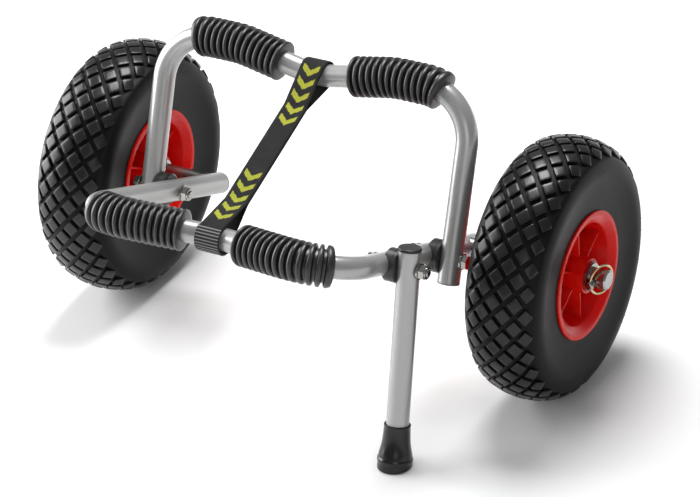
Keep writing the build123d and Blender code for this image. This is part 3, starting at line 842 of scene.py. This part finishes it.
# %% Tread blocks on a flat strip
block_count, row_count = 33, 7
row_step = 11.0
block_step = 2 * pi * tyre_top / block_count
groove_width = 4.4
half_long = block_step / 2
inset = 1 - groove_width / 2 * hypot(row_step, half_long) / (row_step * block_step / 2)
clear_selection()
bpy.ops.mesh.primitive_grid_add(
    x_subdivisions=4, y_subdivisions=4, size=sqrt(2), rotation=(0, 0, pi / 4)
)
block = rename(bpy.context.object, "tread_block")
bpy.ops.object.transform_apply(location=False, rotation=True, scale=False)
open_edit(block)
bpy.ops.transform.resize(value=(row_step * inset * MM, half_long * inset * MM, 1))
close_edit()
finish(block, "SOLIDIFY", thickness=(groove_depth + 0.4) * MM, offset=-1)
round_edges(block, 0.7, segments=2, angle=40)
finish(block, "ARRAY", count=block_count, use_relative_offset=False, use_constant_offset=True,
       constant_offset_displace=(0, block_step * MM, 0))
rows = []
for number in range(row_count):
    row = copy_piece(block, f"tread_row_{number}")
    place = number - row_count // 2
    shift = (half_long * MM) if place % 2 else 0
    row.data.transform(Matrix.Translation((place * row_step * MM, shift, 0)))
    rows.append(row)
bpy.data.objects.remove(block)
tread = join_pieces(rows, "right_tread_blocks")
print("tread strip", triangles(tread), "triangles")

# %% [markdown]
# A new tyre still has moulding hairs, the thin rubber threads that the vents of its mould leave.
# Each is a small cone with a lean of its own. They join the strip before it is wrapped, and so
# stand off the rubber wherever they end up.

# %% Moulding hairs
random.seed(7)
hair_count = 46
hair_runs = (22, 44, 45, 52)
hairs = []
for number in range(hair_count):
    clear_selection()
    bpy.ops.mesh.primitive_cone_add(vertices=5, radius1=0.32 * MM, radius2=0.1 * MM, depth=1)
    hair = open_edit(rename(bpy.context.object, f"hair_{number}"))
    bpy.ops.transform.resize(value=(1, 1, random.uniform(2.0, 3.6) * MM))
    lean = random.uniform(-0.5, 0.5)
    bpy.ops.transform.rotate(value=lean, orient_axis="X", center_override=(0, 0, 0))
    close_edit()
    spot_x = random.choice((-1, 1)) * random.choice(hair_runs)
    spot = (spot_x * MM, random.uniform(0, 816) * MM, 0.6 * MM)
    hair.data.transform(Matrix.Translation(spot))
    hairs.append(hair)
tread = join_pieces([tread] + hairs, "right_tread_blocks")

# %% Wrap the strip round the tyre
for vertex in tread.data.vertices:
    side_run, along, height = (value / MM for value in vertex.co)
    offset, radius = skin_place(abs(side_run), height)
    angle = along / tyre_top
    offset = offset if side_run >= 0 else -offset
    vertex.co = wheel_centre + Vector((
        offset * MM, -radius * MM * sin(angle), radius * MM * cos(angle)
    ))
# The body, with the groove floors and the side walls, gets a darker and duller copy of the tread
# rubber: painted shade in the grooves between the blocks.
tyre_body_shaded_finish = make_finish(
    "tyre_rubber", (0.0035, 0.0035, 0.0033), 0.46, tint=((0.006, 0.006, 0.0055), 0.5),
    noise=(900, 30), spread=0.14, relief=(0.35, 0.07), edges=(0.1, (0.04, 0.04, 0.04)),
    specular=0.12,
)["material"]
tread_finish = make_finish(
    "tread_rubber", (0.006, 0.006, 0.006), 0.32, tint=((0.009, 0.009, 0.009), 0.5), noise=(900, 30),
    spread=0.14, relief=(0.3, 0.06), edges=(0.3, (0.06, 0.06, 0.06)), specular=0.34,
)["material"]
paint(carcass, tyre_body_shaded_finish)
paint(tread, tread_finish)
right_tyre_piece = join_pieces([carcass, tread], "right_block_tyre")
smooth(right_tyre_piece, 35)
left_tyre_piece = mirror_piece(right_tyre_piece, "left_block_tyre")
smooth(left_tyre_piece, 35)
fit(right_tyre_piece, "right_wheel", "tyre_rubber", None, "right_tyre")
fit(left_tyre_piece, "left_wheel", "tyre_rubber", None, "left_tyre")


# %% [markdown]
# Each rim is two red mouldings, screwed together inside. A half is turned from its section: drum,
# lip, sloping band, deep dish, web and hub. Six thin ribs stand between hub and dish. A plane
# polygon with a thickness makes one rib, and copies of it turn round the axle. Every edge gets a
# small bevel, because a moulding with sharp edges catches no light.

# %% Rims
hub_face = 37.5
rib_number = 6
screw_circle = 30
rim_section = [
    (0.2, 13), (hub_face, 13), (hub_face, 17.2), (22, 18.0), (10, 18.8), (7.6, 20.4), (7.0, 23),
    (7.0, 41.6), (7.8, 44.2), (10, 45.5), (30.4, 50.4), (31.8, 51.0), (32.8, 52.2), (35.9, 57.6),
    (36.6, 59.0), (36.7, 60), (36.7, 63.2), (36.2, 64.0), (34.6, 64.0), (34.5, 63.4), (34.5, 57.8),
    (34.0, 57.5), (0.2, 57.5), (0.2, 51.5), (3.5, 45), (3.5, 19), (0.2, 17.5),
]
rib_corners = [(5.0, 15.5), (27.4, 15.5), (27.0, 22), (27.0, 50.2), (12.0, 46.8), (5.0, 45.6)]
boss_outline = [(5, 2.1), (8.6, 2.1), (9.0, 2.5), (9.0, 4.2), (8.4, 4.9), (5, 5.2)]


def rim_half(name, outwards):
    """One moulded half of the right-hand rim, facing outwards (1) or to the frame (-1)."""
    section = [(outwards * a, r) for a, r in rim_section]
    half = turn_piece(f"{name}_dish", section, wheel_centre, (1, 0, 0), steps=112)
    rib = draw_ring(f"{name}_rib", [
        wheel_centre + Vector((outwards * a * MM, 0, r * MM)) for a, r in rib_corners
    ])
    bpy.ops.mesh.select_all(action="SELECT")
    bpy.ops.mesh.edge_face_add()
    close_edit()
    finish(rib, "SOLIDIFY", thickness=2.4 * MM, offset=0)
    close_normals(rib)
    round_edges(rib, 0.8, segments=2)
    ribs = turn_copies(rib, f"{name}_ribs", rib_number, wheel_centre, (1, 0, 0))
    between_ribs = Matrix.Rotation(pi / rib_number, 3, Vector((1, 0, 0)))
    boss_place = wheel_centre + between_ribs @ Vector((0, 0, screw_circle * MM))
    boss = turn_piece(f"{name}_boss", boss_outline, boss_place, (outwards, 0, 0), steps=24)
    bosses = turn_copies(boss, f"{name}_bosses", rib_number, wheel_centre, (1, 0, 0))
    return smooth(join_pieces([half, ribs, bosses], name), 32)


for half_name, outwards in (("outer", 1), ("inner", -1)):
    right_half = rim_half(f"right_rim_{half_name}", outwards)
    left_half = smooth(mirror_piece(right_half, f"left_rim_{half_name}"), 32)
    fit(right_half, "right_wheel", "rim_plastic", rim_finish, f"right_rim_{half_name}_half")
    fit(left_half, "left_wheel", "rim_plastic", rim_finish, f"left_rim_{half_name}_half")


# %% [markdown]
# The strap is a loop of webbing round the middle of both bars, which keeps the hoops from opening
# further. Between the bars its two layers lie on each other, and near each bar they part and go
# round it. One half of that line serves both bars, turned about. The line is drawn once, extruded
# sideways to the width of the webbing, and Solidify gives it thickness. The weave and the chevrons
# follow the cloth itself, so they need a UV map: U runs along the loop and V across the webbing.

# %% Line of the strap
strap_low, strap_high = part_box("strap")
strap_half_width = (strap_high.x - strap_low.x) / 2
strap_mid_radius = 13.1 * MM
layer_half = 0.95 * MM
pinch_reach = 45 * MM
front_bar = Vector((0, -158.721 * MM, 220.607 * MM))
rear_bar = Vector((0, 40.3475 * MM, 297.94 * MM))
strap_way = (rear_bar - front_bar).normalized()
strap_out = Vector((0, -strap_way.z, strap_way.y))
pinch_lean = asin((strap_mid_radius - layer_half) / pinch_reach)
flat_steps, part_steps, wrap_steps = 24, 16, 28


def run_between(start, end, steps):
    """Points of a straight run, its end left to the next run."""
    return [start.lerp(end, step / steps) for step in range(steps)]


def strap_half_route(bar, way, out):
    """Line of the webbing from the middle, over one layer, round a bar and half way back."""
    pinch = bar - way * pinch_reach
    far = (front_bar + rear_bar) / 2
    layer = out * layer_half
    places = run_between(far + layer, pinch + layer, flat_steps)
    normal = out * cos(pinch_lean) - way * sin(pinch_lean)
    near, off = bar + normal * strap_mid_radius, pinch + normal * layer_half
    places += run_between(off, near, part_steps)
    for step in range(wrap_steps):
        angle = -pinch_lean + (pi + 2 * pinch_lean) * step / wrap_steps
        places.append(bar + (out * cos(angle) + way * sin(angle)) * strap_mid_radius)
    normal = -out * cos(pinch_lean) - way * sin(pinch_lean)
    near, off = bar + normal * strap_mid_radius, pinch + normal * layer_half
    places += run_between(near, off, part_steps)
    return places + run_between(pinch - layer, far - layer, flat_steps)


route = strap_half_route(rear_bar, strap_way, strap_out)
route += strap_half_route(front_bar, -strap_way, -strap_out)
spans = [after - before for before, after in zip(route, route[1:] + route[:1])]
strap_length = sum(span.length for span in spans)
print("strap loop", round(strap_length, 4), "m long,", round(2 * strap_half_width, 4), "m wide")

# %% Webbing and its UV map
columns = 8
webbing = draw_ring("strap_webbing", [p - Vector((strap_half_width, 0, 0)) for p in route])
for column in range(columns):
    bpy.ops.mesh.extrude_region_move(
        TRANSFORM_OT_translate={"value": (2 * strap_half_width / columns, 0, 0)}
    )
close_edit()


def spot_key(place):
    """A place on the route, whatever its column."""
    return round(place.y, 6), round(place.z, 6)


run_at = {}
run = (rear_bar - front_bar).length / 2
for place, span in zip(route, spans):
    run_at[spot_key(place)] = run % strap_length
    run -= span.length
webbing_uv = webbing.data.uv_layers.new(name="along_and_across")
for polygon in webbing.data.polygons:
    corners = [webbing.data.vertices[v].co for v in polygon.vertices]
    runs = [run_at[spot_key(corner)] for corner in corners]
    wraps = max(runs) - min(runs) > strap_length / 2
    for loop_index, corner, run in zip(polygon.loop_indices, corners, runs):
        along = run + (strap_length if wraps and run < strap_length / 2 else 0)
        webbing_uv.data[loop_index].uv = (along, corner.x + strap_half_width)
close_normals(webbing)
finish(webbing, "SOLIDIFY", thickness=1.7 * MM, offset=0)
round_edges(webbing, 0.5, segments=2, angle=50)
smooth(webbing, 50)
print("strap", triangles(webbing), "triangles")


# %% [markdown]
# Webbing is woven over and under in close ribs. Two short rows of yellow-green chevrons are woven
# into this one. Both come from the UV map: the ribs are waves across and along the cloth, and each
# chevron is a slanted bar on either side of the middle. Its edge climbs in steps, because whole
# rows of threads are counted, as in a woven picture.

# %% Finish: webbing with woven chevrons
strap_parts = make_finish(
    "black_webbing", (0.006, 0.006, 0.006), 0.7, tint=((0.011, 0.011, 0.011), 0.5),
    noise=(1500, 60), spread=0.15, relief=(0.5, 0.2), settled=0.02, specular=0.12,
)
tree = strap_parts["tree"]
cloth_axes = put(tree, "ShaderNodeSeparateXYZ")
wire(tree, put(tree, "ShaderNodeUVMap", uv_map="along_and_across").outputs[0], cloth_axes.inputs[0])
thread = 0.9 * MM
along_threads = calc(tree, "DIVIDE", cloth_axes.outputs["X"], thread)
across_threads = calc(tree, "DIVIDE", cloth_axes.outputs["Y"], thread)
along_wave = calc(tree, "SINE", calc(tree, "MULTIPLY", along_threads, 2 * pi))
across_wave = calc(tree, "SINE", calc(tree, "MULTIPLY", across_threads, pi))
weave = calc(tree, "MULTIPLY", along_wave, across_wave)
weave_height = calc(tree, "MULTIPLY_ADD", weave, 0.5, 0.5)

# %% Two rows of five chevrons
row_start, chevron_step, chevron_width = 6 * MM, 14.5 * MM, 6.4 * MM
chevron_half, slant = 9 * MM, 0.8
step_along = calc(tree, "MULTIPLY", calc(tree, "FLOOR", along_threads), thread)
step_across = calc(tree, "MULTIPLY", calc(tree, "FLOOR", across_threads), thread)
from_middle = calc(tree, "ABSOLUTE", calc(tree, "SUBTRACT", step_across, strap_half_width))
slanted = calc(tree, "MULTIPLY_ADD", from_middle, slant, step_along)
slanted = calc(tree, "SUBTRACT", slanted, row_start)
bar = calc(tree, "LESS_THAN", calc(tree, "MODULO", slanted, chevron_step), chevron_width)
inside = calc(tree, "LESS_THAN", from_middle, chevron_half)
shown = 0.0
for first, last in ((0, 5), (9, 14)):
    begun = calc(tree, "GREATER_THAN", slanted, first * chevron_step)
    not_over = calc(tree, "LESS_THAN", slanted, last * chevron_step)
    shown = calc(tree, "MULTIPLY_ADD", begun, not_over, shown)
chevrons = calc(tree, "MULTIPLY", calc(tree, "MULTIPLY", bar, inside), shown)
chevrons = calc(tree, "MULTIPLY", chevrons, calc(tree, "GREATER_THAN", along_wave, -0.75))
black = strap_parts["wear"].outputs["Colour"]
coloured = blend_colours(tree, chevrons, black, (0.46, 0.48, 0.035, 1))
# Painted shade: the colour darkens where the weave dips, in the hollows between the threads.
painted_weave_shade = calc(tree, "MULTIPLY", calc(tree, "SUBTRACT", 1.0, weave_height), 0.45)
shaded = blend_colours(tree, painted_weave_shade, coloured, (0.006, 0.006, 0.006, 1))
wire(tree, shaded, strap_parts["shader"].inputs["Base Color"])
wire(tree, weave_height, strap_parts["bump"].inputs["Height"])
strap_parts["bump"].inputs["Distance"].default_value = 0.3 * MM
strap_parts["shader"].inputs["Sheen Weight"].default_value = 0.06
paint(webbing, strap_parts["material"])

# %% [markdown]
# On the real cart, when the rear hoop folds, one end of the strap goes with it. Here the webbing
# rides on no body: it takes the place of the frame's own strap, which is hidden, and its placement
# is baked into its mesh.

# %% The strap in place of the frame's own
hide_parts("strap")
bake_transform(webbing)


# %% [markdown]
# Where the loop is closed, at the front bar, it is covered by a ribbed patch: rows of raised cord
# across the webbing, each sewn down. Its outline is a corrugated half ring, extruded to the width
# of the strap.

# %% Strap patch
patch_inner = strap_mid_radius + 0.9 * MM
patch_rows, steps_per_row = 15, 6
cord_base, cord_height = 0.85, 0.5
outer_side, inner_side = [], []
for step in range(patch_rows * steps_per_row + 1):
    angle = pi * step / (patch_rows * steps_per_row)
    ripple = abs(sin(angle * patch_rows)) ** 0.6
    direction = -(strap_out * cos(angle) + strap_way * sin(angle))
    height = (cord_base + cord_height * ripple) * MM
    outer_side.append(front_bar + direction * (patch_inner + height))
    inner_side.append(front_bar + direction * patch_inner)
patch_half = strap_half_width + 0.4 * MM
patch_ring = [p - Vector((patch_half, 0, 0)) for p in outer_side + inner_side[::-1]]
patch = draw_ring("strap_patch_ribs", patch_ring)
bpy.ops.mesh.extrude_region_move(TRANSFORM_OT_translate={"value": (2 * patch_half, 0, 0)})
close_edit()
open_edit(patch)
bpy.ops.mesh.select_mode(type="EDGE")
bpy.ops.mesh.select_all(action="DESELECT")
bpy.ops.mesh.select_non_manifold()
bpy.ops.mesh.edge_face_add()
bpy.ops.mesh.select_mode(type="VERT")
close_edit()
smooth(close_normals(patch), 60)

# %% Finish: a painted highlight along the crest of each cord
patch_parts = make_finish(
    "patch_cord", (0.010, 0.010, 0.010), 0.6, tint=((0.014, 0.014, 0.014), 0.4), noise=(1600, 140),
    spread=0.15, relief=(0.4, 0.1), specular=0.3,
)
tree = patch_parts["tree"]
patch_axes = put(tree, "ShaderNodeSeparateXYZ")
wire(tree, put(tree, "ShaderNodeTexCoord").outputs["Object"], patch_axes.inputs[0])
from_bar_y = calc(tree, "SUBTRACT", patch_axes.outputs["Y"], front_bar.y)
from_bar_z = calc(tree, "SUBTRACT", patch_axes.outputs["Z"], front_bar.z)
start_angle = atan2(strap_out.z, strap_out.y)
patch_angle = calc(tree, "SUBTRACT", calc(tree, "ARCTAN2", from_bar_z, from_bar_y), start_angle)
# Painted highlight: a pale stripe along the top of every cord, where light would catch it.
painted_cord_highlight = calc(tree, "ABSOLUTE", calc(tree, "SINE", calc(tree, "MULTIPLY", patch_angle, patch_rows)))
painted_cord_highlight = calc(tree, "MULTIPLY", ramp(tree, painted_cord_highlight, 0.84, 0.99), 0.9)
black = patch_parts["wear"].outputs["Colour"]
wire(tree, blend_colours(tree, painted_cord_highlight, black, (0.25, 0.25, 0.24, 1)),
     patch_parts["shader"].inputs["Base Color"])
fit(patch, "front_frame", "webbing", patch_parts["material"], "strap_patch")


# %% [markdown]
# The rest of the frame's own nodes have the right shape already, so they stay and only get their
# finish: bolts, nuts, washers, pins, bearings, saddles and plugs. The first word of the list that
# is in a node's name decides, so a saddle on the tube counts as a saddle.

# %% Finishes on the frame's own nodes
node_finishes = {
    "saddle": saddle_finish, "plugs": plug_finish, "cap": saddle_finish, "foot": foot_finish,
    "bolt": zinc_finish, "nut": zinc_finish, "washers": zinc_finish, "screws": zinc_finish,
    "_pin": zinc_finish, "ring": brass_zinc_finish, "axle_stub": axle_finish, "bush": bush_finish,
    "core": core_finish, "hoop": tube_finish, "tube": tube_finish, "tyre": tyre_body_shaded_finish,
    "rim": rim_finish, "grip": grip_foam_worn_and_highlit, "patch": patch_parts["material"],
    "strap": strap_parts["material"],
}
for node_name, node in nodes.items():
    key = next(k for k in node_finishes if k in node_name)
    paint(node, node_finishes[key])
print("finished nodes", len(nodes))
for line in (front_line, rear_line):
    bpy.data.objects.remove(line)
